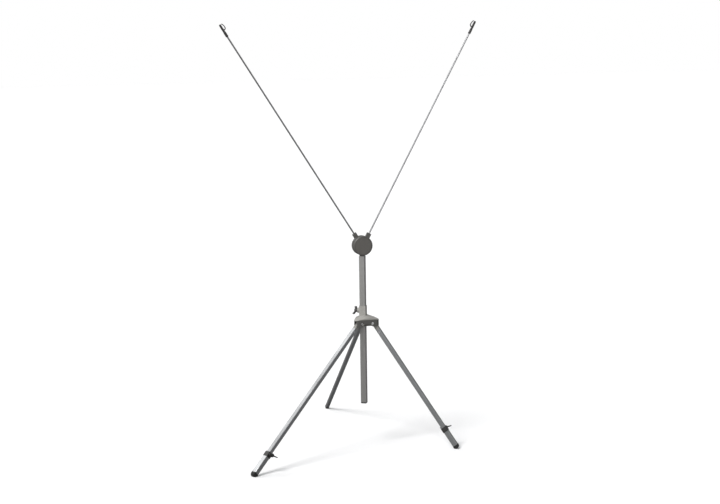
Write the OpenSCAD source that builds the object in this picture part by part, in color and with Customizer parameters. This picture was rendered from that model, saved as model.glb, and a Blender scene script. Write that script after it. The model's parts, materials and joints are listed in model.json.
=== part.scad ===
// Folding floor stand with two rabbit-ear arms: square mast, three-legged base,
// two-disc friction head and a hook clip on the end of each rod.
// Units are millimetres. +Z is up, -Y is the front, and the origin lies on the
// floor, on the axis of the mast.

/* [Mast] */
// Side of the square mast tube
mast_w = 20; // [16:1:24]
// Wall of the mast tube
mast_wall = 1.5; // [1:0.1:2]
// Height of the mast's lower end above the floor
mast_bottom_z = 149; // [140:1:200]
// Height of the mast's upper end above the floor
mast_top_z = 665; // [600:1:750]
// Turn of the mast's faces about its own axis
mast_turn = -30; // [-45:1:45]

/* [Head] */
// Diameter of the two friction discs
disc_d = 68; // [62:1:72]
// Thickness of one friction disc
disc_t = 14; // [13:0.5:16]
// Diameter of the pivot bolt
pivot_bolt_d = 6; // [5:0.5:8]
// Diameter of the swivel spigot under the head
spigot_d = 12; // [10:0.5:13]

/* [Arms] */
// Diameter of an arm rod
rod_d = 5.5; // [4:0.5:7]
// Lean of the right arm from upright
right_arm_lean = 28.7; // [10:0.1:60]
// Lean of the left arm from upright
left_arm_lean = 32.2; // [10:0.1:60]
// Pivot to the foot of the right hook
right_arm_reach = 838; // [500:1:1000]
// Pivot to the foot of the left hook
left_arm_reach = 872; // [500:1:1000]

/* [Hook] */
// Length of a hook clip from its foot to its tip
hook_len = 50; // [46:1:60]
// Width of the hook's straight bar
hook_bar_w = 8; // [7:0.5:10]
// Thickness of the hook front to back
hook_t = 7; // [6:0.5:9]

/* [Spider] */
// Height of the leg hinges above the floor
hinge_z = 431; // [380:1:480]
// Hinge distance from the spider's own centre
hinge_r = 31; // [31:0.5:36]
// Distance of the spider's centre from the mast axis
hub_offset = 7; // [5:0.5:8]
// Height of the collar above the spider's front edge
collar_h = 40; // [36:1:60]

/* [Legs] */
// Lean from upright at which a leg meets its stop
stop_splay = 50; // [45:1:55]
// Lean of the right leg from upright
right_splay = 34.3; // [25:0.1:50]
// Side of the front leg tubes
leg_w = 14.5; // [13.5:0.5:15]
// Side of the slimmer rear leg tube
rear_leg_w = 12.5; // [12.5:0.5:14.5]
// Side of the sleeves on the front legs
sleeve_w = 17; // [17:0.5:18]
// Length of the left foot sleeve
left_sleeve_len = 76; // [70:1:120]
// Length of the right foot sleeve
right_sleeve_len = 66; // [62:1:120]

/* [Clamps] */
// Thread diameter of the wing screws
screw_d = 6; // [5:0.5:6]
// Span of a wing screw from tip to tip
wing_span = 44; // [36:1:50]

/* [Hidden] */
$fn = 64;

// Small gaps and common wall sizes
slip = 0.25;        // sliding gap round the square tubes
run = 0.06;         // running gap round pins and screws
tube_wall = 1.4;
tube_r = 1.5;       // outer corner radius of the tubes

// Head, measured outwards from the middle plane of the pivot
pivot_z = mast_top_z + disc_d / 2 + 3;
tongue_t = 4;
washer_gap = 0.8;
disc_y0 = tongue_t / 2 + washer_gap;
disc_y1 = disc_y0 + disc_t;
disc_mid = (disc_y0 + disc_y1) / 2;
cover_t = 2.6;
cover_y = disc_y1 - cover_t - 0.6;
pocket_y = disc_y0 + 5.2;
pocket_r = 10;
washer_t = 1.2;
nut_h = 4.2;
flange_t = 2.4;
socket_len = 24;

// Arms
lug_w = 15;
lug_t = 12;
lug_r1 = disc_d / 2 + 15;
rod_seat = disc_d / 2 - 4;
hook_socket = 15;

// Spider
hub_x = hub_offset * cos(mast_turn);
hub_y = hub_offset * sin(mast_turn);
LEG_AZIMUTH = [210, -30, 90];
lobe_r = 12.8;
lobe_centre_r = hinge_r + 5.5;
pin_seat = 15;      // leg pin's head from the middle of its leg
spider_bottom_z = hinge_z - 10;
spider_top_z = hinge_z + 19;
crown_slope = 0.4;  // fall of the spider's top away from its centre
slot_w = 12.6;
tongue_w = 12;
tongue_r = 9.3;
slot_roof = 9.5;
hinge_pin_d = 5;
collar_w = 24;
clamp_z = spider_top_z + collar_h - 17;
clamp_face = mast_turn + 180;
boss_len = 7;

// Legs, measured along the tube from the hinge
shoulder_0 = 20;
shoulder_1 = 27;
plug_len = 24;
tread = 0.8;        // depth of the flat under a foot
overlap = 40;       // leg tube inside its sleeve
foot_rim = 4;       // straight part of a foot, below the end of its tube
foot_plug = 8;      // the foot's plug inside the tube
front_foot_w = sleeve_w + 1;
rear_foot_w = rear_leg_w + 1;
collar_up = 12;     // clamp collar above the end of the sleeve
collar_down = 5;
clamp_collar_w = 20;
clamp_boss = 3;
wing_lean = 20;     // turn of a leg's wing screw at rest

// Hinge to the centre of the rounded foot, so that the foot just meets the floor
function foot_reach(splay, foot_w) = (hinge_z - foot_w / 2 + tread) / cos(splay);

left_reach = foot_reach(stop_splay, front_foot_w);
right_reach = foot_reach(right_splay, front_foot_w);
rear_reach = foot_reach(stop_splay, rear_foot_w);

// ---- frames ----

// +Z runs down the leg from its hinge, +Y lies to the leg's side
module leg_frame(azimuth, splay) {
    translate([hub_x, hub_y, 0])
        rotate([0, 0, azimuth])
            translate([hinge_r, 0, hinge_z])
                rotate([0, 180 - splay, 0])
                    children();
}

module left_leg_frame() { leg_frame(LEG_AZIMUTH[0], stop_splay) children(); }
module right_leg_frame() { leg_frame(LEG_AZIMUTH[1], right_splay) children(); }
module rear_leg_frame() { leg_frame(LEG_AZIMUTH[2], stop_splay) children(); }

// One side of a spider lobe: +X outwards from the spider's centre
module lobe_frame(azimuth) {
    translate([hub_x, hub_y, 0]) rotate([0, 0, azimuth]) children();
}

// +Z runs up the arm from the pivot
module right_arm_frame() { translate([0, 0, pivot_z]) rotate([0, right_arm_lean, 0]) children(); }
module left_arm_frame() { translate([0, 0, pivot_z]) rotate([0, -left_arm_lean, 0]) children(); }

// +Z points out of the mast's clamped face, from the mast axis
module mast_clamp_frame() {
    translate([0, 0, clamp_z]) rotate([0, 0, clamp_face]) rotate([0, 90, 0]) children();
}

// +Z points out of the clamped side of a front leg
module leg_clamp_frame(reach, sleeve_len) {
    translate([0, 0, reach - sleeve_len - collar_up / 2]) rotate([-90, 0, 0]) children();
}

// ---- shared shapes ----

module rounded_square(w, r) {
    square([w, w - 2 * r], center = true);
    square([w - 2 * r, w], center = true);
    for (x = [-1, 1], y = [-1, 1])
        translate([x * (w / 2 - r), y * (w / 2 - r)]) circle(r);
}

module square_tube(w, wall, len) {
    linear_extrude(len)
        difference() {
            rounded_square(w, tube_r);
            square(w - 2 * wall, center = true);
        }
}

// Cylinder lying along Y
module y_cyl(r, y0, y1) {
    translate([0, y0, 0]) rotate([-90, 0, 0]) cylinder(r = r, h = y1 - y0);
}

// Ring of radius r between two angles, as a flat band
module arc_band(r, t, a0, a1) {
    far = 2 * (r + t);
    intersection() {
        difference() {
            circle(r + t / 2, $fn = 96);
            circle(r - t / 2, $fn = 96);
        }
        polygon([[0, 0], far * [cos(a0), sin(a0)], far * [cos((a0 + a1) / 2), sin((a0 + a1) / 2)],
            far * [cos(a1), sin(a1)]]);
    }
}

// Wing screw: threaded shank from z = tip up to the knob, wings in the XZ plane
module wing_screw(tip, seat) {
    hub_h = 10;
    wing_t = 4;
    tip_r = 4.5;
    translate([0, 0, tip]) cylinder(d = screw_d, h = seat - tip + 4);
    translate([0, 0, seat]) cylinder(d = 13, h = hub_h);
    translate([0, 0, seat + hub_h]) cylinder(d = 10, h = 1.5);
    for (side = [-1, 1])
        translate([0, wing_t / 2, seat])
            rotate([90, 0, 0])
                linear_extrude(wing_t) {
                    polygon([[side * 3, 1], [side * 8, 2], [side * (wing_span / 2 - 2), 6],
                        [side * (wing_span / 2 - tip_r), 9 + tip_r], [side * 9, 10], [side * 3, 10]]);
                    translate([side * (wing_span / 2 - tip_r), 9]) circle(tip_r);
                }
}

// Threaded insert from z0 to z1
module screw_insert(z0, z1) {
    difference() {
        translate([0, 0, z0]) cylinder(d = 9, h = z1 - z0);
        translate([0, 0, z0 - 1]) cylinder(d = screw_d + 2 * run, h = z1 - z0 + 2);
    }
}

// ---- mast ----

module mast_tube() {
    color([0.62, 0.62, 0.63])
        rotate([0, 0, mast_turn])
            translate([0, 0, mast_bottom_z])
                square_tube(mast_w, mast_wall, mast_top_z - mast_bottom_z);
}

module mast_bottom_plug() {
    cap_h = 4;
    insert_h = 18;
    color([0.1, 0.1, 0.1])
        rotate([0, 0, mast_turn])
            translate([0, 0, mast_bottom_z]) {
                translate([0, 0, -cap_h + 1.2]) linear_extrude(cap_h - 1.2) rounded_square(mast_w, 2);
                translate([0, 0, -cap_h]) linear_extrude(cap_h) rounded_square(mast_w - 2.4, 2);
                linear_extrude(insert_h) square(mast_w - 2 * mast_wall, center = true);
            }
}

module mast_top_socket() {
    color([0.12, 0.12, 0.12])
        translate([0, 0, mast_top_z - socket_len])
            difference() {
                rotate([0, 0, mast_turn])
                    linear_extrude(socket_len) square(mast_w - 2 * mast_wall, center = true);
                translate([0, 0, -1]) cylinder(d = spigot_d + 2 * run, h = socket_len + 2);
            }
}

// ---- head ----

module head_post() {
    tongue_d = 50;
    color([0.3, 0.29, 0.28])
        difference() {
            union() {
                translate([0, 0, pivot_z]) y_cyl(tongue_d / 2, -tongue_t / 2, tongue_t / 2);
                translate([-9, -tongue_t / 2, mast_top_z + 0.2]) cube([18, tongue_t, 24]);
                translate([0, 0, mast_top_z + 0.2]) cylinder(d = 19, h = flange_t);
                translate([0, 0, mast_top_z - socket_len]) cylinder(d = spigot_d, h = socket_len + 1);
            }
            translate([0, 0, pivot_z]) y_cyl(pivot_bolt_d / 2, -tongue_t, tongue_t);
            translate([0, 0, mast_top_z - socket_len - 1]) cylinder(d = 5, h = 17);
        }
}

module swivel_screw() {
    z0 = mast_top_z - socket_len;
    color([0.7, 0.7, 0.72]) {
        translate([0, 0, z0 - 1.5]) cylinder(d = 5, h = 17);
        difference() {
            translate([0, 0, z0 - 5]) cylinder(d = 9.5, h = 3.5);
            translate([0, 0, z0 - 6]) cylinder(d = 4.6, h = 3, $fn = 6);
        }
    }
}

module swivel_washer() {
    color([0.7, 0.7, 0.72])
        translate([0, 0, mast_top_z - socket_len - 1.5])
            difference() {
                cylinder(d = 15.5, h = 1.3);
                translate([0, 0, -1]) cylinder(d = 5, h = 4);
            }
}

module friction_washers() {
    color([0.15, 0.15, 0.15])
        for (side = [-1, 1])
            translate([0, side * (tongue_t / 2 + washer_gap / 2), pivot_z])
                difference() {
                    y_cyl(22, -0.35, 0.35);
                    y_cyl(pivot_bolt_d / 2 + 0.2, -1, 1);
                }
}

module pivot_bolt() {
    head_y = pocket_y + washer_t;
    color([0.72, 0.72, 0.74])
        translate([0, 0, pivot_z]) {
            y_cyl(pivot_bolt_d / 2, -head_y, pocket_y + washer_t + nut_h);
            translate([0, -head_y, 0]) rotate([90, 0, 0]) cylinder(d = 11.5, h = 4, $fn = 6);
        }
}

module pivot_nut() {
    color([0.72, 0.72, 0.74])
        translate([0, pocket_y + washer_t, pivot_z])
            difference() {
                rotate([-90, 0, 0]) cylinder(d = 11.5, h = nut_h, $fn = 6);
                y_cyl(pivot_bolt_d / 2, -1, 6);
            }
}

module pivot_washers() {
    color([0.75, 0.75, 0.76])
        for (side = [-1, 1])
            translate([0, side * (pocket_y + washer_t / 2), pivot_z])
                difference() {
                    y_cyl(8, -washer_t / 2 + 0.05, washer_t / 2);
                    y_cyl(pivot_bolt_d / 2, -2, 2);
                }
}

// A disc facing -Y, with the arm's lug standing along +Z
module friction_disc(shade) {
    rim_r = disc_d / 2;
    bevel = 2.2;
    recess_r = rim_r - 3.4;
    color(shade)
        difference() {
            union() {
                rotate([90, 0, 0])
                    rotate_extrude($fn = 96)
                        polygon([[0, disc_y0], [rim_r - 0.8, disc_y0], [rim_r, disc_y0 + 0.8],
                            [rim_r, disc_y1 - bevel], [rim_r - bevel, disc_y1], [0, disc_y1]]);
                translate([0, -disc_mid, rod_seat - 6])
                    linear_extrude(lug_r1 - rod_seat + 6)
                        intersection() {
                            rounded_square(lug_w, 3);
                            square([lug_w, lug_t], center = true);
                        }
            }
            translate([0, -disc_mid, rod_seat]) cylinder(d = rod_d, h = 60);
            y_cyl(pivot_bolt_d / 2 + 0.1, -disc_y1 - 1, 0);
            y_cyl(pocket_r, -disc_y1 - 1, -pocket_y);
            y_cyl(recess_r, -disc_y1 - 1, -cover_y);
        }
}

module disc_cover(shade) {
    cover_r = disc_d / 2 - 3.4;
    color(shade)
        rotate([90, 0, 0])
            rotate_extrude($fn = 96)
                polygon([[0, cover_y], [cover_r, cover_y], [cover_r, cover_y + cover_t - 0.8],
                    [cover_r - 0.8, cover_y + cover_t], [0, cover_y + cover_t]]);
}

module front_disc() { right_arm_frame() friction_disc([0.42, 0.41, 0.4]); }
module front_cover() { right_arm_frame() disc_cover([0.3, 0.28, 0.26]); }
module rear_disc() { left_arm_frame() mirror([0, 1, 0]) friction_disc([0.42, 0.41, 0.4]); }
module rear_cover() { left_arm_frame() mirror([0, 1, 0]) disc_cover([0.3, 0.28, 0.26]); }

// ---- arms ----

module arm_rod(reach) {
    color([0.5, 0.5, 0.5])
        translate([0, 0, rod_seat]) cylinder(d = rod_d, h = reach + hook_socket - rod_seat);
}

// Clip with its foot at z = 0 and its finger on the -X side
module hook_clip() {
    finger_t = 3.2;
    root_z = 24.5;
    curl_r = 8.5;
    sweep_r = 60;
    bar_edge = hook_bar_w / 2;
    finger_x = bar_edge + curl_r;
    sweep = asin((hook_len - 3 - root_z - curl_r) / sweep_r);
    color([0.12, 0.12, 0.12])
        difference() {
            union() {
                cylinder(d = 9.5, h = 22);
                translate([0, hook_t / 2, 0])
                    rotate([90, 0, 0])
                        linear_extrude(hook_t) {
                            translate([-bar_edge, 8]) square([hook_bar_w, hook_len - 8 - bar_edge]);
                            translate([0, hook_len - bar_edge]) circle(bar_edge);
                            translate([-bar_edge + 0.01, root_z + curl_r]) arc_band(curl_r, finger_t, 180, 271);
                            translate([-finger_x + sweep_r, root_z + curl_r])
                                arc_band(sweep_r, finger_t, 180 - sweep, 180.5);
                            translate([-finger_x + sweep_r * (1 - cos(sweep)), hook_len - 3])
                                circle(finger_t / 2 + 0.3);
                        }
            }
            translate([0, 0, -1]) cylinder(d = rod_d, h = hook_socket + 1);
        }
}

module right_rod() { right_arm_frame() translate([0, -disc_mid, 0]) arm_rod(right_arm_reach); }
module left_rod() { left_arm_frame() translate([0, disc_mid, 0]) arm_rod(left_arm_reach); }
module right_hook() {
    right_arm_frame() translate([0, -disc_mid, right_arm_reach]) hook_clip();
}
module left_hook() {
    left_arm_frame() translate([0, disc_mid, left_arm_reach]) mirror([1, 0, 0]) hook_clip();
}

// ---- spider ----

module spider() {
    arch_r = 24;
    arch_rise = 8;
    arch_start = 20;
    color([0.55, 0.54, 0.52])
        difference() {
            union() {
                intersection() {
                    translate([hub_x, hub_y, spider_bottom_z]) linear_extrude(60) spider_plan();
                    translate([hub_x, hub_y, 0]) spider_crown();
                }
                rotate([0, 0, mast_turn])
                    translate([0, 0, spider_top_z - 1])
                        linear_extrude(collar_h + 1) rounded_square(collar_w, 3);
                mast_clamp_frame() cylinder(d = 18, h = collar_w / 2 + boss_len);
            }
            rotate([0, 0, mast_turn])
                translate([0, 0, spider_bottom_z - 1])
                    linear_extrude(spider_top_z - spider_bottom_z + collar_h + 3)
                        square(mast_w + 2 * slip, center = true);
            mast_clamp_frame() cylinder(d = 9, h = 60);
            for (a = LEG_AZIMUTH) lobe_frame(a) {
                translate([hinge_r - 10, -slot_w / 2, spider_bottom_z - 1])
                    cube([40, slot_w, hinge_z + slot_roof - spider_bottom_z + 1]);
                translate([hinge_r, 0, hinge_z]) {
                    y_cyl(hinge_pin_d / 2, -40, 40);
                    y_cyl(4.8, pin_seat, 40);
                    y_cyl(4.8, -40, -pin_seat);
                }
                rotate([0, 0, 60])
                    translate([arch_start, 0, spider_bottom_z - arch_r + arch_rise])
                        rotate([0, 90, 0])
                            cylinder(r = arch_r, h = 60);
            }
        }
}

// Space under the spider's sloping top
module spider_crown() {
    rim_z = hinge_z + 9;
    peak_z = spider_top_z + 7;
    edge_r = hinge_r + (spider_top_z - rim_z) / crown_slope;
    translate([0, 0, spider_bottom_z - 1]) cylinder(r = edge_r, h = rim_z - spider_bottom_z + 1);
    translate([0, 0, rim_z])
        cylinder(r1 = edge_r, r2 = hinge_r - (peak_z - spider_top_z) / crown_slope, h = peak_z - rim_z);
}

// Plan of the spider: three round lobes joined by straight sides
module spider_plan() {
    steps = 16;
    polygon([for (a = [90, 210, 330], i = [0:steps])
        let (turn = a - 60 + 120 * i / steps)
            lobe_centre_r * [cos(a), sin(a)] + lobe_r * [cos(turn), sin(turn)]]);
}

module mast_screw_insert() {
    color([0.75, 0.6, 0.3])
        mast_clamp_frame() screw_insert(mast_w / 2 + 0.6, collar_w / 2 + boss_len);
}

module mast_clamp_pad() {
    color([0.9, 0.9, 0.86])
        mast_clamp_frame() translate([0, 0, mast_w / 2 + 0.02]) cylinder(d = screw_d, h = 2.4);
}

module mast_wing_screw() {
    color([0.12, 0.12, 0.12])
        mast_clamp_frame() rotate([0, 0, 60])
            wing_screw(mast_w / 2 + 2.45, collar_w / 2 + boss_len + 1);
}

// ---- leg hinges ----

// Bolt with a domed head on the +Y side of a lobe
module hinge_bolt() {
    color([0.85, 0.85, 0.86])
        translate([hinge_r, 0, hinge_z]) {
            y_cyl(hinge_pin_d / 2, -pin_seat - 4, pin_seat);
            y_cyl(4.3, pin_seat, pin_seat + 1.4);
            y_cyl(3.2, pin_seat, pin_seat + 2.2);
        }
}

module hinge_nut() {
    color([0.8, 0.8, 0.82])
        translate([hinge_r, 0, hinge_z])
            difference() {
                translate([0, -pin_seat, 0]) rotate([90, 0, 0]) cylinder(d = 9, h = 3.4, $fn = 6);
                y_cyl(hinge_pin_d / 2, -40, 40);
            }
}

module left_hinge_bolt() { lobe_frame(LEG_AZIMUTH[0]) hinge_bolt(); }
module right_hinge_bolt() { lobe_frame(LEG_AZIMUTH[1]) mirror([0, 1, 0]) hinge_bolt(); }
module rear_hinge_bolt() { lobe_frame(LEG_AZIMUTH[2]) hinge_bolt(); }
module left_hinge_nut() { lobe_frame(LEG_AZIMUTH[0]) hinge_nut(); }
module right_hinge_nut() { lobe_frame(LEG_AZIMUTH[1]) mirror([0, 1, 0]) hinge_nut(); }
module rear_hinge_nut() { lobe_frame(LEG_AZIMUTH[2]) hinge_nut(); }

// Tongue with a heel that meets the slot's roof at the full splay, and a plug for the tube
module knuckle(w) {
    heel = 8;
    color([0.2, 0.2, 0.2])
        difference() {
            union() {
                y_cyl(tongue_r, -tongue_w / 2, tongue_w / 2);
                rotate([0, stop_splay, 0])
                    translate([-heel, -tongue_w / 2, -slot_roof + 0.1])
                        cube([heel, tongue_w, slot_roof - 0.1]);
                translate([-w / 2, -tongue_w / 2, 0]) cube([w, tongue_w, shoulder_0 + 1]);
                translate([0, 0, shoulder_0]) linear_extrude(shoulder_1 - shoulder_0) rounded_square(w, 2);
                translate([0, 0, shoulder_1])
                    linear_extrude(plug_len) square(w - 2 * tube_wall, center = true);
            }
            y_cyl(hinge_pin_d / 2 + run, -20, 20);
            translate([0, 0, shoulder_1 + plug_len / 2]) y_cyl(1.6, -20, 20);
        }
}

module knuckle_rivet(w) {
    color([0.8, 0.8, 0.82])
        translate([0, 0, shoulder_1 + plug_len / 2]) {
            y_cyl(1.6, -w / 2 - 0.5, w / 2 + 0.5);
            y_cyl(3, w / 2, w / 2 + 1);
            y_cyl(3, -w / 2 - 1, -w / 2);
        }
}

module left_knuckle() { left_leg_frame() knuckle(leg_w); }
module right_knuckle() { right_leg_frame() knuckle(leg_w); }
module rear_knuckle() { rear_leg_frame() knuckle(rear_leg_w); }
module left_knuckle_rivet() { left_leg_frame() knuckle_rivet(leg_w); }
module right_knuckle_rivet() { right_leg_frame() knuckle_rivet(leg_w); }
module rear_knuckle_rivet() { rear_leg_frame() knuckle_rivet(rear_leg_w); }

// ---- legs ----

module leg_tube(w, end) {
    color([0.72, 0.72, 0.72])
        difference() {
            translate([0, 0, shoulder_1]) square_tube(w, tube_wall, end - shoulder_1);
            translate([0, 0, shoulder_1 + plug_len / 2]) y_cyl(1.6, -20, 20);
        }
}

module left_leg_tube() { left_leg_frame() leg_tube(leg_w, left_reach - left_sleeve_len + overlap); }
module right_leg_tube() { right_leg_frame() leg_tube(leg_w, right_reach - right_sleeve_len + overlap); }
module rear_leg_tube() { rear_leg_frame() leg_tube(rear_leg_w, rear_reach - foot_rim); }

module sleeve(reach, len) {
    color([0.75, 0.75, 0.75])
        translate([0, 0, reach - len])
            square_tube(sleeve_w, (sleeve_w - leg_w) / 2 - slip, len - foot_rim);
}

module left_sleeve() { left_leg_frame() sleeve(left_reach, left_sleeve_len); }
module right_sleeve() { right_leg_frame() sleeve(right_reach, right_sleeve_len); }

// Collar fixed round the top of a sleeve, with a boss for the wing screw
module clamp_collar(reach, len) {
    color([0.16, 0.16, 0.16])
        difference() {
            union() {
                translate([0, 0, reach - len - collar_up])
                    linear_extrude(collar_up + collar_down) rounded_square(clamp_collar_w, 2.5);
                leg_clamp_frame(reach, len) cylinder(d = 12, h = clamp_collar_w / 2 + clamp_boss);
            }
            translate([0, 0, reach - len - collar_up - 1])
                linear_extrude(collar_up + 2) square(leg_w + 2 * slip, center = true);
            translate([0, 0, reach - len])
                linear_extrude(collar_down + 1) rounded_square(sleeve_w, tube_r);
            leg_clamp_frame(reach, len) cylinder(d = 9, h = 40);
        }
}

module left_clamp_collar() { left_leg_frame() clamp_collar(left_reach, left_sleeve_len); }
module right_clamp_collar() { right_leg_frame() clamp_collar(right_reach, right_sleeve_len); }

module leg_insert(reach, len) {
    color([0.75, 0.6, 0.3])
        leg_clamp_frame(reach, len) screw_insert(leg_w / 2 + 0.6, clamp_collar_w / 2 + clamp_boss);
}

module leg_pad(reach, len) {
    color([0.9, 0.9, 0.86])
        leg_clamp_frame(reach, len) translate([0, 0, leg_w / 2 + 0.02]) cylinder(d = screw_d, h = 2.4);
}

module leg_wing_screw(reach, len) {
    color([0.12, 0.12, 0.12])
        leg_clamp_frame(reach, len) rotate([0, 0, wing_lean])
            wing_screw(leg_w / 2 + 2.45, clamp_collar_w / 2 + clamp_boss + 1);
}

module left_screw_insert() { left_leg_frame() leg_insert(left_reach, left_sleeve_len); }
module right_screw_insert() { right_leg_frame() leg_insert(right_reach, right_sleeve_len); }
module left_clamp_pad() { left_leg_frame() leg_pad(left_reach, left_sleeve_len); }
module right_clamp_pad() { right_leg_frame() leg_pad(right_reach, right_sleeve_len); }
module left_wing_screw() { left_leg_frame() leg_wing_screw(left_reach, left_sleeve_len); }
module right_wing_screw() { right_leg_frame() leg_wing_screw(right_reach, right_sleeve_len); }

// Plug in the end of a tube, with a rim as wide as the tube and rounded underneath
module foot_cap(w, bore, reach) {
    color([0.08, 0.08, 0.08]) {
        translate([0, 0, reach - foot_rim - foot_plug]) linear_extrude(foot_plug + 1) square(bore, center = true);
        translate([0, 0, reach - foot_rim]) linear_extrude(foot_rim) rounded_square(w, 2);
        translate([0, 0, reach])
            intersection() {
                y_cyl(w / 2, -w / 2 + 1, w / 2 - 1);
                translate([-w, -w, 0.5 - foot_rim]) cube(2 * w);
            }
    }
}

// Flattens whatever reaches the floor
module cut_at_floor() {
    difference() {
        children();
        translate([-1000, -1000, -100]) cube([2000, 2000, 100]);
    }
}

module left_foot() { cut_at_floor() left_leg_frame() foot_cap(front_foot_w, leg_w + 2 * slip, left_reach); }
module right_foot() { cut_at_floor() right_leg_frame() foot_cap(front_foot_w, leg_w + 2 * slip, right_reach); }
module rear_foot() { cut_at_floor() rear_leg_frame() foot_cap(rear_foot_w, rear_leg_w - 2 * tube_wall, rear_reach); }

mast_tube();
mast_bottom_plug();
mast_top_socket();
head_post();
swivel_screw();
swivel_washer();
friction_washers();
pivot_bolt();
pivot_nut();
pivot_washers();
front_disc();
front_cover();
right_rod();
right_hook();
rear_disc();
rear_cover();
left_rod();
left_hook();
spider();
mast_screw_insert();
mast_clamp_pad();
mast_wing_screw();
left_hinge_bolt();
right_hinge_bolt();
rear_hinge_bolt();
left_hinge_nut();
right_hinge_nut();
rear_hinge_nut();
left_knuckle();
right_knuckle();
rear_knuckle();
left_knuckle_rivet();
right_knuckle_rivet();
rear_knuckle_rivet();
left_leg_tube();
right_leg_tube();
rear_leg_tube();
left_sleeve();
right_sleeve();
left_clamp_collar();
right_clamp_collar();
left_screw_insert();
right_screw_insert();
left_clamp_pad();
right_clamp_pad();
left_wing_screw();
right_wing_screw();
left_foot();
right_foot();
rear_foot();
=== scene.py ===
import json
import math

import bpy
from mathutils import Euler, Matrix, Vector


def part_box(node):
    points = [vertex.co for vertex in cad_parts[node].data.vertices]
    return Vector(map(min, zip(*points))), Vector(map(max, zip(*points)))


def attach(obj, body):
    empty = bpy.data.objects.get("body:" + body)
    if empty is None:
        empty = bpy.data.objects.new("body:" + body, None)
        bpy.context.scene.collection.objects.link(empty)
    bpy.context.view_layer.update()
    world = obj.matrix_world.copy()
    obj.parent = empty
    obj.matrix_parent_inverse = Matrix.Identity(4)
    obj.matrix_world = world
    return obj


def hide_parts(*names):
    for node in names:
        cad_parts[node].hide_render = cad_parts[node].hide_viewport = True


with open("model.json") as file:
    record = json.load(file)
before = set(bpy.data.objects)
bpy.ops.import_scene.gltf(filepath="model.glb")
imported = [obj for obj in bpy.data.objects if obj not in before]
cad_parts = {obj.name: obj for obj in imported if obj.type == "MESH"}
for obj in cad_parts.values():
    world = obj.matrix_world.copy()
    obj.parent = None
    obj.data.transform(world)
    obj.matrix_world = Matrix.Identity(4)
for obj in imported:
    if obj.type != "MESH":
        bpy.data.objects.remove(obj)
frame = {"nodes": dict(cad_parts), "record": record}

# The tripod stand's looks. Everything is in metres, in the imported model's own frame.
# Places come from the record's joints and mounts, and from the CAD nodes' boxes and vertices.

NODES = frame["nodes"]
RECORD = frame["record"]
JOINTS = {j["name"]: j for j in RECORD["behaviour"]["joints"]}
MOUNTS = {m["name"]: m for m in RECORD["mounts"]}
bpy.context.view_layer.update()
MM = 0.001
UP = Vector((0, 0, 1))
FRONT = Vector((0, -1, 0))


# ---- where things are ----

def joint_pos(name):
    return Vector(JOINTS[name]["pos_m"])


def joint_axis(name):
    return Vector(JOINTS[name]["axis"]).normalized()


def box_centre(node):
    """Middle of a CAD node's box."""
    lo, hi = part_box(node)
    return (Vector(lo) + Vector(hi)) / 2


LEGS = ("left", "right", "rear")
HUB = sum((joint_pos(f"{leg}_leg_fold") for leg in LEGS), Vector()) / len(LEGS)
SPLAY_COS = -joint_axis("left_foot_extend").z


def leg_axis(leg):
    """Unit vector down a leg, from its hinge to its foot."""
    if leg != "rear":
        return joint_axis(f"{leg}_foot_extend")
    radial = (joint_pos("rear_leg_fold") - HUB).normalized()
    return radial * math.sqrt(1 - SPLAY_COS ** 2) - UP * SPLAY_COS


def axial_span(node, origin, axis):
    """Lowest and highest place of a CAD node's vertices along an axis."""
    along = [(v.co - origin).dot(axis) for v in NODES[node].data.vertices]
    return min(along), max(along)


def widest_direction(node, origin, axis):
    """Unit vector square to the axis, towards the node's farthest vertices, and their distance."""
    tip_depth = 0.6 * MM
    arms = []
    for v in NODES[node].data.vertices:
        arm = v.co - origin
        arms.append(arm - axis * arm.dot(axis))
    far = max(arms, key=lambda arm: arm.length)
    tip = [arm for arm in arms if arm.length > far.length - tip_depth and arm.dot(far) > 0]
    return sum(tip, Vector()).normalized(), far.length


# ---- materials ----

def links(tree):
    """A short name for joining two sockets of one tree."""
    return tree.links.new


def base_material(name, metallic, specular=0.5):
    """A new material with its node tree and its shader."""
    material = bpy.data.materials.new(name)
    material.use_nodes = True
    shader = material.node_tree.nodes["Principled BSDF"]
    shader.inputs["Metallic"].default_value = metallic
    shader.inputs["Specular IOR Level"].default_value = specular
    return material, material.node_tree, shader


def coordinates(tree, axis=UP, stretch=(1, 1, 1)):
    """Object coordinates turned so that axis runs along Z, then stretched."""
    source = tree.nodes.new("ShaderNodeTexCoord")
    turn = tree.nodes.new("ShaderNodeMapping")
    turn.inputs["Rotation"].default_value = Vector(axis).rotation_difference(UP).to_euler()
    scale = tree.nodes.new("ShaderNodeMapping")
    scale.inputs["Scale"].default_value = stretch
    links(tree)(source.outputs["Object"], turn.inputs["Vector"])
    links(tree)(turn.outputs["Vector"], scale.inputs["Vector"])
    return scale.outputs["Vector"]


def noise(tree, vector, scale, detail=4.0, roughness=0.55):
    """Grey noise over a vector."""
    node = tree.nodes.new("ShaderNodeTexNoise")
    node.inputs["Scale"].default_value = scale
    node.inputs["Detail"].default_value = detail
    node.inputs["Roughness"].default_value = roughness
    links(tree)(vector, node.inputs["Vector"])
    return node.outputs["Fac"]


def ramp(tree, factor, stops):
    """Colour ramp with (position, colour) stops; a plain number is a grey."""
    node = tree.nodes.new("ShaderNodeValToRGB")
    elements = node.color_ramp.elements
    while len(elements) < len(stops):
        elements.new(0.5)
    for element, (position, colour) in zip(elements, stops):
        element.position = position
        rgb = (colour,) * 3 if isinstance(colour, float) else colour
        element.color = (*rgb, 1)
    links(tree)(factor, node.inputs["Fac"])
    return node.outputs["Color"]


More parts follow.
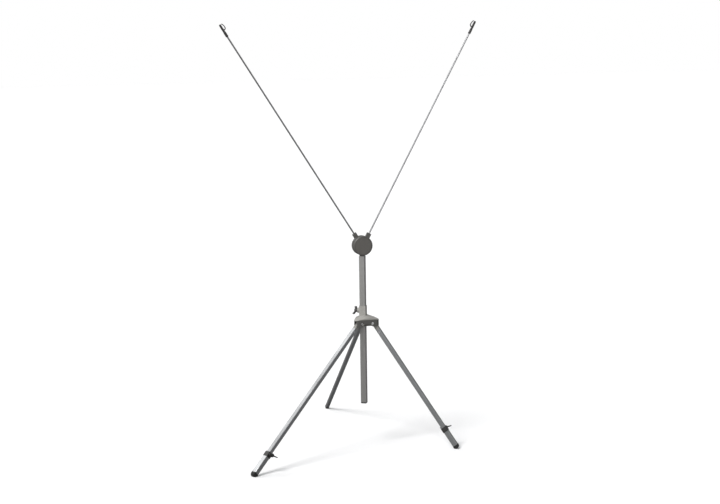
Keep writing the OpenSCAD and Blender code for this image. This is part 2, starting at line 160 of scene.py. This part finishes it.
def blend_colours(tree, factor, first, second, mode="MIX"):
    """Mixes two colours; the factor is a number or a socket."""
    node = tree.nodes.new("ShaderNodeMix")
    node.data_type = "RGBA"
    node.blend_type = mode
    if isinstance(factor, float):
        node.inputs[0].default_value = factor
    else:
        links(tree)(factor, node.inputs[0])
    links(tree)(first, node.inputs[6])
    links(tree)(second, node.inputs[7])
    return node.outputs[2]


def spread(tree, factor, low, high):
    """Maps 0.3..0.7, where most noise lies, to low..high."""
    node = tree.nodes.new("ShaderNodeMapRange")
    node.inputs["From Min"].default_value = 0.3
    node.inputs["From Max"].default_value = 0.7
    node.inputs["To Min"].default_value = low
    node.inputs["To Max"].default_value = high
    links(tree)(factor, node.inputs["Value"])
    return node.outputs["Result"]


def bump(tree, shader, heights):
    """Chains (height, distance, strength) bumps into the shader's normal."""
    normal = None
    for height, distance, strength in heights:
        node = tree.nodes.new("ShaderNodeBump")
        node.inputs["Distance"].default_value = distance
        node.inputs["Strength"].default_value = strength
        links(tree)(height, node.inputs["Height"])
        if normal is not None:
            links(tree)(normal, node.inputs["Normal"])
        normal = node.outputs["Normal"]
    links(tree)(normal, shader.inputs["Normal"])


def scaled(colour, factor):
    """A colour made brighter or darker."""
    return tuple(min(1.0, c * factor) for c in colour)


def drawn_metal(name, colour, axis, rough=(0.34, 0.46), metallic=0.9, lines=900.0):
    """Extruded or drawn metal: fine lines along its length, faint handling marks and dulled patches."""
    material, tree, shader = base_material(name, metallic)
    fine = coordinates(tree, axis, (1, 1, 0.012))
    plain = coordinates(tree, axis)
    line = noise(tree, fine, lines, 3.0, 0.6)
    broad_line = noise(tree, fine, lines / 6, 2.0)
    patch = noise(tree, plain, 14.0, 5.0)
    speck = noise(tree, plain, 420.0, 3.0, 0.7)
    tone = ramp(tree, line, [(0.3, scaled(colour, 0.90)), (0.7, scaled(colour, 1.07))])
    wear = ramp(tree, patch, [(0.35, 0.88), (0.62, 1.0)])
    pits = ramp(tree, speck, [(0.28, 0.80), (0.36, 1.0)])
    toned = blend_colours(tree, 1.0, tone, wear, "MULTIPLY")
    links(tree)(blend_colours(tree, 1.0, toned, pits, "MULTIPLY"), shader.inputs["Base Color"])
    links(tree)(spread(tree, patch, rough[1], rough[0]), shader.inputs["Roughness"])
    shader.inputs["Anisotropic"].default_value = 0.35
    bump(tree, shader, [(broad_line, 0.00012, 0.35), (line, 0.00004, 0.35)])
    return material


def moulding(name, colour, rough=(0.48, 0.62), grain=2600.0, grain_depth=0.00006, specular=0.45):
    """Injection-moulded plastic: fine spark grain, faint flow marks and lighter rubbed spots."""
    material, tree, shader = base_material(name, 0.0, specular=specular)
    plain = coordinates(tree)
    spark = noise(tree, plain, grain, 2.0, 0.5)
    flow = noise(tree, coordinates(tree, UP, (1, 1, 0.35)), 38.0, 4.0)
    rub = noise(tree, plain, 150.0, 5.0, 0.7)
    tone = ramp(tree, flow, [(0.3, scaled(colour, 0.88)), (0.7, scaled(colour, 1.10))])
    worn = ramp(tree, rub, [(0.60, scaled(colour, 1.0)), (0.74, scaled(colour, 1.35))])
    links(tree)(blend_colours(tree, 0.35, tone, worn), shader.inputs["Base Color"])
    links(tree)(spread(tree, rub, rough[0], rough[1]), shader.inputs["Roughness"])
    bump(tree, shader, [(flow, 0.00012, 0.3), (spark, grain_depth, 0.5)])
    return material


def with_painted_skirt_shade(material, hinge_z):
    """Paints shade onto the spider's upright sides below its collar, darkest where a face points
    sideways; the crown keeps its colour.
    """
    skirt_top = hinge_z + 12 * MM
    collar_foot = hinge_z + 17 * MM
    tree = material.node_tree
    shader = tree.nodes["Principled BSDF"]
    colour = shader.inputs["Base Color"].links[0].from_socket
    texture = tree.nodes.new("ShaderNodeTexCoord")
    place = tree.nodes.new("ShaderNodeSeparateXYZ")
    facing = tree.nodes.new("ShaderNodeSeparateXYZ")
    links(tree)(texture.outputs["Object"], place.inputs[0])
    links(tree)(texture.outputs["Normal"], facing.inputs[0])
    collar = tree.nodes.new("ShaderNodeMapRange")
    collar.inputs["From Min"].default_value = skirt_top
    collar.inputs["From Max"].default_value = collar_foot
    links(tree)(place.outputs["Z"], collar.inputs["Value"])
    light = tree.nodes.new("ShaderNodeMath")
    light.operation = "MAXIMUM"
    links(tree)(facing.outputs["Z"], light.inputs[0])
    links(tree)(collar.outputs["Result"], light.inputs[1])
    # Painted shade: the colour falls to 0.26 on faces below the collar that point sideways or down.
    shade = ramp(tree, light.outputs["Value"], [(0.15, 0.26), (0.60, 1.0)])
    links(tree)(blend_colours(tree, 1.0, colour, shade, "MULTIPLY"), shader.inputs["Base Color"])
    return material


def plated(name, colour, rough=(0.22, 0.36)):
    """Zinc plate on small fixings: faint mottling."""
    material, tree, shader = base_material(name, 1.0)
    plain = coordinates(tree)
    mottle = noise(tree, plain, 600.0, 4.0, 0.6)
    tone = ramp(tree, mottle, [(0.3, scaled(colour, 0.86)), (0.7, scaled(colour, 1.08))])
    links(tree)(tone, shader.inputs["Base Color"])
    links(tree)(spread(tree, mottle, rough[0], rough[1]), shader.inputs["Roughness"])
    bump(tree, shader, [(mottle, 0.00003, 0.3)])
    return material


def soft_rubber(name, colour):
    """Matt rubber with a pebbled skin and a little pale dust."""
    material, tree, shader = base_material(name, 0.0, specular=0.3)
    plain = coordinates(tree)
    pebble = noise(tree, plain, 1300.0, 3.0, 0.6)
    dust = noise(tree, plain, 60.0, 6.0, 0.7)
    tone = ramp(tree, dust, [(0.42, colour), (0.80, scaled(colour, 3.2))])
    links(tree)(tone, shader.inputs["Base Color"])
    links(tree)(spread(tree, dust, 0.72, 0.9), shader.inputs["Roughness"])
    bump(tree, shader, [(pebble, 0.0001, 0.5)])
    return material


# Base colours, linear
ALUMINIUM = (0.35, 0.355, 0.36)
MAST_ALUMINIUM = (0.40, 0.395, 0.385)
STEEL = (0.25, 0.25, 0.255)
# The right rod's steel is painted 1.5 times lighter than the left rod's: painted light standing in for
# the light that rod catches.
ROD_STEEL_WITH_PAINTED_LIGHT = {"left": STEEL, "right": scaled(STEEL, 1.5)}
GREY_PLASTIC = (0.305, 0.298, 0.278)
DISC_GREY = (0.095, 0.092, 0.086)
COVER_GREY = (0.104, 0.098, 0.090)
NEAR_BLACK = (0.024, 0.023, 0.022)

MAST_METAL = drawn_metal("mast_metal", MAST_ALUMINIUM, UP)
LEG_METAL = {leg: drawn_metal(f"{leg}_leg_metal", ALUMINIUM, leg_axis(leg)) for leg in LEGS}
SLEEVE_METAL = {
    leg: drawn_metal(f"{leg}_sleeve_metal", scaled(ALUMINIUM, 1.06), leg_axis(leg), (0.30, 0.42))
    for leg in ("left", "right")}
ARM_AXIS = {
    side: Vector(MOUNTS[f"{side}_hook_mouth"]["axis"]).normalized()
    for side in ("left", "right")}
ROD_METAL = {
    side: drawn_metal(f"{side}_rod_metal", ROD_STEEL_WITH_PAINTED_LIGHT[side], ARM_AXIS[side], (0.26, 0.40), 0.95, 1500.0)
    for side in ("left", "right")}
# The spider's grey moulding carries painted shade on its upright sides.
GREY_MOULDING = with_painted_skirt_shade(moulding("grey_moulding", GREY_PLASTIC), joint_pos("left_leg_fold").z)
DISC_MOULDING = moulding("disc_moulding", DISC_GREY, (0.36, 0.5), 2200.0)
COVER_MOULDING = moulding("cover_moulding", COVER_GREY, (0.42, 0.56), 2200.0)
DARK_MOULDING = moulding("dark_moulding", NEAR_BLACK, (0.40, 0.55), 2400.0)
HOOK_MOULDING = moulding("hook_moulding", scaled(NEAR_BLACK, 1.4), (0.3, 0.42), 2400.0)
KNUCKLE_MOULDING = moulding("knuckle_moulding", scaled(GREY_PLASTIC, 0.7), (0.45, 0.6))
BRIGHT_PLATE = plated("bright_plate", (0.72, 0.72, 0.73))
BRASS = plated("turned_brass", (0.70, 0.50, 0.22), (0.25, 0.4))
NYLON = moulding("natural_nylon", (0.72, 0.70, 0.64), (0.35, 0.5), 1800.0)
FIBRE = moulding("pressed_fibre", (0.05, 0.045, 0.04), (0.7, 0.85), 3000.0)
RUBBER = soft_rubber("foot_rubber", (0.018, 0.018, 0.018))

NODE_MATERIALS = {
    "mast_tube": MAST_METAL, "spider": GREY_MOULDING,
    "front_disc": DISC_MOULDING, "rear_disc": DISC_MOULDING, "head_post": DISC_MOULDING,
    "front_cover": COVER_MOULDING, "rear_cover": COVER_MOULDING,
    "mast_bottom_plug": DARK_MOULDING, "mast_top_socket": DARK_MOULDING,
    "friction_washers": FIBRE, "left_rod": ROD_METAL["left"], "right_rod": ROD_METAL["right"],
    "left_sleeve": SLEEVE_METAL["left"], "right_sleeve": SLEEVE_METAL["right"],
}
for leg in LEGS:
    NODE_MATERIALS[f"{leg}_leg_tube"] = LEG_METAL[leg]
    NODE_MATERIALS[f"{leg}_knuckle"] = KNUCKLE_MOULDING
    NODE_MATERIALS[f"{leg}_foot"] = RUBBER
WORD_MATERIALS = (
    ("insert", BRASS), ("pad", NYLON), ("bolt", BRIGHT_PLATE), ("nut", BRIGHT_PLATE),
    ("rivet", BRIGHT_PLATE), ("screw", BRIGHT_PLATE), ("washer", BRIGHT_PLATE),
)


def material_for(node):
    """The node's own material, or that of the first word found in its name."""
    if node in NODE_MATERIALS:
        return NODE_MATERIALS[node]
    for word, material in WORD_MATERIALS:
        if word in node:
            return material
    return DARK_MOULDING


# ---- CAD nodes: materials, and softened edges where a mould or a file would leave them ----

EDGE_ROUND = {
    "spider": 1.1, "front_disc": 0.7, "rear_disc": 0.7, "front_cover": 0.4, "rear_cover": 0.4,
    "left_clamp_collar": 0.8, "right_clamp_collar": 0.8,
    "left_knuckle": 0.7, "right_knuckle": 0.7, "rear_knuckle": 0.7,
    "left_foot": 0.9, "right_foot": 0.9, "rear_foot": 0.9,
    "mast_bottom_plug": 0.5, "head_post": 0.4,
    "left_sleeve": 0.2, "right_sleeve": 0.2,
}


def soften(node, width_mm):
    """Welds the node's split vertices and rounds its sharp edges, in modifiers only."""
    weld = node.modifiers.new("weld", "WELD")
    weld.merge_threshold = 1e-6
    bevel = node.modifiers.new("edge_round", "BEVEL")
    bevel.width = width_mm * MM
    bevel.segments = 3
    bevel.limit_method = "ANGLE"
    bevel.angle_limit = math.radians(40)
    bevel.use_clamp_overlap = True
    bevel.harden_normals = True


for node_name, node in NODES.items():
    node.data.materials.clear()
    node.data.materials.append(material_for(node_name))
    if node_name in EDGE_ROUND:
        soften(node, EDGE_ROUND[node_name])


# ---- new pieces ----

def add_mesh(name, parts, material, body):
    """Joins (vertices, faces) parts into one object that rides on a body."""
    vertices, faces = [], []
    for part_vertices, part_faces in parts:
        start = len(vertices)
        vertices += [tuple(v) for v in part_vertices]
        faces += [tuple(i + start for i in face) for face in part_faces]
    mesh = bpy.data.meshes.new(name)
    mesh.from_pydata(vertices, [], faces)
    mesh.validate()
    mesh.update()
    piece = bpy.data.objects.new(name, mesh)
    bpy.context.scene.collection.objects.link(piece)
    mesh.materials.append(material)
    for polygon in mesh.polygons:
        polygon.use_smooth = True
    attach(piece, body)
    return piece


def tube_faces(rows, ring):
    """Faces of a closed tube made of rings of vertices: its sides, then both ends."""
    faces = []
    for r in range(rows - 1):
        for k in range(ring):
            n = (k + 1) % ring
            faces.append((r * ring + k, r * ring + n, (r + 1) * ring + n, (r + 1) * ring + k))
    last = (rows - 1) * ring
    faces.append(tuple(range(ring))[::-1])
    faces.append(tuple(last + k for k in range(ring)))
    return faces


def spoke(side, axis, share):
    """The unit vector side, turned about the axis by a share of a full turn."""
    angle = 2 * math.pi * share
    return side * math.cos(angle) + axis.cross(side) * math.sin(angle)


def domed(point, tangent, wide, thick, direction, steps=5):
    """Shrinking sections past one end of a bar, which round it off."""
    depth = min(wide, thick)
    sections = []
    for k in range(1, steps):
        out = math.sin(math.pi / 2 * k / steps)
        inset = depth * (1 - math.sqrt(1 - out * out))
        sections.append((point + tangent * direction * depth * out, tangent, wide - inset, thick - inset))
    return sections


def sweep(path, side, ring=28, power=2.6):
    """Closed bar along a planar path of (point, half width, half thickness).

    The half thickness lies along side, which is square to the path's plane. The cross
    section is a superellipse, and both ends are domed.
    """
    last = len(path) - 1
    sections = []
    for i, (point, wide, thick) in enumerate(path):
        tangent = (path[min(i + 1, last)][0] - path[max(i - 1, 0)][0]).normalized()
        sections.append((point, tangent, wide, thick))
    sections = domed(*sections[0], -1)[::-1] + sections + domed(*sections[-1], 1)
    vertices = []
    for point, tangent, wide, thick in sections:
        across = tangent.cross(side).normalized()
        for k in range(ring):
            angle = 2 * math.pi * k / ring
            c, s = math.cos(angle), math.sin(angle)
            x = math.copysign(abs(c) ** (2 / power), c) * wide
            y = math.copysign(abs(s) ** (2 / power), s) * thick
            vertices.append(point + across * x + side * y)
    return vertices, tube_faces(len(sections), ring)


def lathe(profile, origin, axis, ring=40):
    """Closed solid of revolution from (distance along the axis, radius) points."""
    side = axis.orthogonal().normalized()
    vertices = []
    for along, radius in profile:
        for k in range(ring):
            vertices.append(origin + axis * along + spoke(side, axis, k / ring) * radius)
    return vertices, tube_faces(len(profile), ring)


def fuse(piece, voxel_mm):
    """Melts a piece's overlapping parts into one skin with filleted joins."""
    remesh = piece.modifiers.new("fuse", "REMESH")
    remesh.mode = "VOXEL"
    remesh.voxel_size = voxel_mm * MM
    remesh.use_smooth_shade = True
    smooth = piece.modifiers.new("fillet", "SMOOTH")
    smooth.factor = 0.5
    smooth.iterations = 4


# Wing screws: the knob's (height over its seat, radius) in millimetres, and the thread in metres
KNOB_PROFILE = (
    (0.0, 5.2), (0.0, 6.1), (0.5, 6.5), (6.8, 6.4),
    (9.2, 5.8), (10.7, 4.4), (11.3, 2.0), (11.4, 0.3))
KNOB_VOXEL_MM = 0.45
THREAD_R = 3.0 * MM
THREAD_ROOT = 2.55 * MM
THREAD_PITCH = 1.0 * MM


def wing_stations(reach):
    """One wing from the hub to its tip at reach: (out, up, half width, half thickness) in millimetres."""
    return (
        (2.0, 5.6, 4.6, 3.4), (6.0, 6.0, 4.6, 2.9), (9.5, 6.8, 4.3, 2.2), (13.0, 7.9, 4.3, 1.8),
        (16.0, 8.9, 4.6, 1.7), (reach - 5.2, 9.8, 4.8, 1.7), (reach - 2.6, 10.5, 4.0, 1.6))


def hub_start(node, origin, axis):
    """Where the knob's hub begins: the lowest vertex that lies well outside the shank."""
    outside = 5 * MM
    starts = []
    for v in NODES[node].data.vertices:
        arm = v.co - origin
        along = arm.dot(axis)
        if (arm - axis * along).length > outside:
            starts.append(along)
    return min(starts)


def make_knob(place, body, origin, axis, lateral, seat, reach):
    """Moulded hub with a wing on each side of it."""
    parts = [lathe([(seat + up * MM, radius * MM) for up, radius in KNOB_PROFILE], origin, axis)]
    face = lateral.cross(axis).normalized()
    for sign in (-1, 1):
        path = [
            (origin + lateral * sign * out * MM + axis * (seat + up * MM), wide * MM, thick * MM)
            for out, up, wide, thick in wing_stations(reach / MM)]
        parts.append(sweep(path, face))
    knob = add_mesh(f"{place}_wing_knob", parts, DARK_MOULDING, body)
    fuse(knob, KNOB_VOXEL_MM)
    return knob


def make_thread(place, body, origin, axis, side, low, high):
    """Steel shank with its thread, from low to high along the axis."""
    rows_per_turn = 4
    ring = 28
    rows = int((high - low) / THREAD_PITCH) * rows_per_turn + 1
    vertices = []
    for row in range(rows):
        centre = origin + axis * (low + row * THREAD_PITCH / rows_per_turn)
        for k in range(ring):
            phase = (row / rows_per_turn - k / ring) % 1.0
            radius = THREAD_ROOT + (THREAD_R - THREAD_ROOT) * (1 - abs(2 * phase - 1))
            vertices.append(centre + spoke(side, axis, k / ring) * radius)
    parts = [(vertices, tube_faces(rows, ring))]
    return add_mesh(f"{place}_screw_thread", parts, BRIGHT_PLATE, body)


def make_wing_screw(place):
    """Moulded wing knob over a threaded steel shank."""
    node = f"{place}_wing_screw"
    body = f"{place}_screw"
    axis = joint_axis(f"{place}_screw_turn")
    origin = joint_pos(f"{place}_screw_turn")
    low, _ = axial_span(node, origin, axis)
    lateral, reach = widest_direction(node, origin, axis)
    lateral = (lateral - axis * lateral.dot(axis)).normalized()
    seat = hub_start(node, origin, axis)
    knob = make_knob(place, body, origin, axis, lateral, seat, reach)
    shank = make_thread(place, body, origin, axis, lateral, low, seat)
    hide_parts(node)
    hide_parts(node)


for place in ("mast", "left", "right"):
    make_wing_screw(place)

# Hook clips, in millimetres from the clip's foot: x lies towards the finger, z along the arm
SOCKET_PROFILE = (
    (0.0, 3.4), (0.0, 4.3), (0.5, 4.75), (5.0, 4.75), (5.6, 4.35),
    (7.0, 4.35), (7.6, 4.75), (17.0, 4.6), (21.0, 3.6), (24.0, 2.6))
BAR_EDGE = 4.0
FINGER_ROOT = 25.5
CURL_R = 6.8
RETURN_R = 34.0
TIP_SHORTFALL = 3.4
HOOK_VOXEL_MM = 0.38


def bar_stations(length):
    """Straight bar from the socket to the clip's tip: (x, z, half width, half thickness)."""
    return (
        (0, 8.0, 3.2, 3.0), (0, 16, 3.9, 3.4), (0, 26, 4.0, 3.4),
        (0, 36, 3.9, 3.1), (0, 42, 3.9, 2.9), (0, length - 3.2, 3.6, 2.7))


def finger_stations(length):
    """Finger: a quarter turn out of the bar, then a long arc back towards the bar's tip."""
    curl_steps = 8
    return_steps = 7
    shoulder = FINGER_ROOT + CURL_R
    stations = [(1.5, FINGER_ROOT + 0.2, 2.2, 3.0)]
    for k in range(curl_steps + 1):
        part = k / curl_steps
        angle = math.pi / 2 * part
        x = BAR_EDGE + CURL_R * math.sin(angle)
        z = FINGER_ROOT + CURL_R * (1 - math.cos(angle))
        stations.append((x, z, 1.9 - 0.3 * part, 3.0 - 0.5 * part))
    full_return = math.asin((length - TIP_SHORTFALL - shoulder) / RETURN_R)
    for k in range(1, return_steps + 1):
        part = k / return_steps
        angle = full_return * part
        x = BAR_EDGE + CURL_R - RETURN_R * (1 - math.cos(angle))
        z = shoulder + RETURN_R * math.sin(angle)
        stations.append((x, z, 1.6 - 0.15 * part, 2.5 - 0.3 * part))
    tip_x, tip_z, _, _ = stations[-1]
    return stations + [(tip_x - 1.3, tip_z + 0.9, 1.6, 2.2)]


def make_hook(side):
    """Hook clip: socket on the rod, straight bar, and a finger beside the bar."""
    node = f"{side}_hook"
    arm = ARM_AXIS[side]
    pivot = joint_pos(f"{side}_arm_pivot")
    origin = Vector((pivot.x, box_centre(node).y, pivot.z))
    foot, top = axial_span(node, origin, arm)
    length = (top - foot) / MM
    inner, _ = widest_direction(node, origin, arm)
    inner = Vector((inner.x, 0, inner.z)).normalized()
    parts = [lathe([(foot + z * MM, radius * MM) for z, radius in SOCKET_PROFILE], origin, arm)]
    for stations in (bar_stations(length), finger_stations(length)):
        path = [
            (origin + inner * x * MM + arm * (foot + z * MM), wide * MM, thick * MM)
            for x, z, wide, thick in stations]
        parts.append(sweep(path, FRONT))
    hook = add_mesh(f"{side}_hook_clip", parts, HOOK_MOULDING, f"{side}_arm")
    fuse(hook, HOOK_VOXEL_MM)
    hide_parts(node)


for side in ("left", "right"):
    make_hook(side)


# ---- stage, light and camera ----

def make_floor():
    """Pale floor, which looks nearly white but throws little light back up at the object."""
    size = 30.0
    bounce = 0.2
    mesh = bpy.data.meshes.new("floor")
    corners = [(-size, -size, 0), (size, -size, 0), (size, size, 0), (-size, size, 0)]
    mesh.from_pydata(corners, [], [(0, 1, 2, 3)])
    floor = bpy.data.objects.new("floor", mesh)
    bpy.context.scene.collection.objects.link(floor)
    material, tree, shader = base_material("pale_floor", 0.0, specular=0.15)
    cloud = noise(tree, coordinates(tree), 1.4, 3.0)
    tone = ramp(tree, cloud, [(0.3, (0.92, 0.92, 0.92)), (0.7, (0.95, 0.95, 0.95))])
    links(tree)(tone, shader.inputs["Base Color"])
    links(tree)(spread(tree, cloud, 0.8, 0.9), shader.inputs["Roughness"])
    calm = tree.nodes.new("ShaderNodeBsdfDiffuse")
    calm.inputs["Color"].default_value = (bounce, bounce, bounce, 1)
    ray = tree.nodes.new("ShaderNodeLightPath")
    mix = tree.nodes.new("ShaderNodeMixShader")
    links(tree)(ray.outputs["Is Camera Ray"], mix.inputs["Fac"])
    links(tree)(calm.outputs["BSDF"], mix.inputs[1])
    links(tree)(shader.outputs["BSDF"], mix.inputs[2])
    links(tree)(mix.outputs["Shader"], tree.nodes["Material Output"].inputs["Surface"])
    mesh.materials.append(material)


def make_world():
    """White studio beyond the floor, with a dimmer surround lighting the object."""
    world = bpy.data.worlds.new("studio")
    bpy.context.scene.world = world
    world.use_nodes = True
    tree = world.node_tree
    tree.nodes.clear()
    output = tree.nodes.new("ShaderNodeOutputWorld")
    seen = tree.nodes.new("ShaderNodeBackground")
    seen.inputs["Color"].default_value = (1, 1, 1, 1)
    seen.inputs["Strength"].default_value = 1.0
    lit = tree.nodes.new("ShaderNodeBackground")
    lit.inputs["Color"].default_value = (0.97, 0.98, 1.0, 1)
    lit.inputs["Strength"].default_value = 0.28
    ray = tree.nodes.new("ShaderNodeLightPath")
    mix = tree.nodes.new("ShaderNodeMixShader")
    links(tree)(ray.outputs["Is Camera Ray"], mix.inputs["Fac"])
    links(tree)(lit.outputs["Background"], mix.inputs[1])
    links(tree)(seen.outputs["Background"], mix.inputs[2])
    links(tree)(mix.outputs["Shader"], output.inputs["Surface"])


# Name, direction that the light comes from, strength, and spread in degrees
SUNS = (
    ("key", (-0.95, -0.50, 1.20), 2.5, 24),
    ("rim", (-0.38, 0.55, 0.72), 0.75, 34),
    ("side", (-0.70, -0.72, 0.08), 1.5, 50),
    ("fill", (0.60, -0.78, 0.15), 0.85, 50),
)


def add_sun(name, towards, strength, spread_deg):
    """Sun lamp whose light comes from the given direction."""
    data = bpy.data.lights.new(name, "SUN")
    data.energy = strength
    data.angle = math.radians(spread_deg)
    lamp = bpy.data.objects.new(name, data)
    lamp.rotation_euler = Vector(towards).to_track_quat("Z", "Y").to_euler()
    bpy.context.scene.collection.objects.link(lamp)


def make_camera():
    """A long lens about 5.6 m away, level with the arms' tips and a little to the left of the front."""
    image_w = 720
    focal_px = 1607
    distance = 5.594
    height = 1.512
    azimuth = math.radians(-16.17)
    down = math.radians(2.75)
    roll = math.radians(-0.785)
    drop_px = 161        # the frame's centre lies this far below the lens axis
    data = bpy.data.cameras.new("camera")
    data.sensor_fit = "HORIZONTAL"
    data.sensor_width = 36.0
    data.lens = focal_px / image_w * data.sensor_width
    data.shift_y = -drop_px / image_w
    data.clip_end = 100
    camera = bpy.data.objects.new("camera", data)
    place = Matrix.Translation((distance * math.sin(azimuth), -distance * math.cos(azimuth), height))
    turn = Euler((math.pi / 2 - down, 0, azimuth)).to_matrix().to_4x4()
    camera.matrix_world = place @ turn @ Matrix.Rotation(roll, 4, "Z")
    bpy.context.scene.collection.objects.link(camera)
    bpy.context.scene.camera = camera


make_floor()
make_world()
for sun in SUNS:
    add_sun(*sun)
make_camera()
bpy.context.scene.view_settings.view_transform = "Standard"
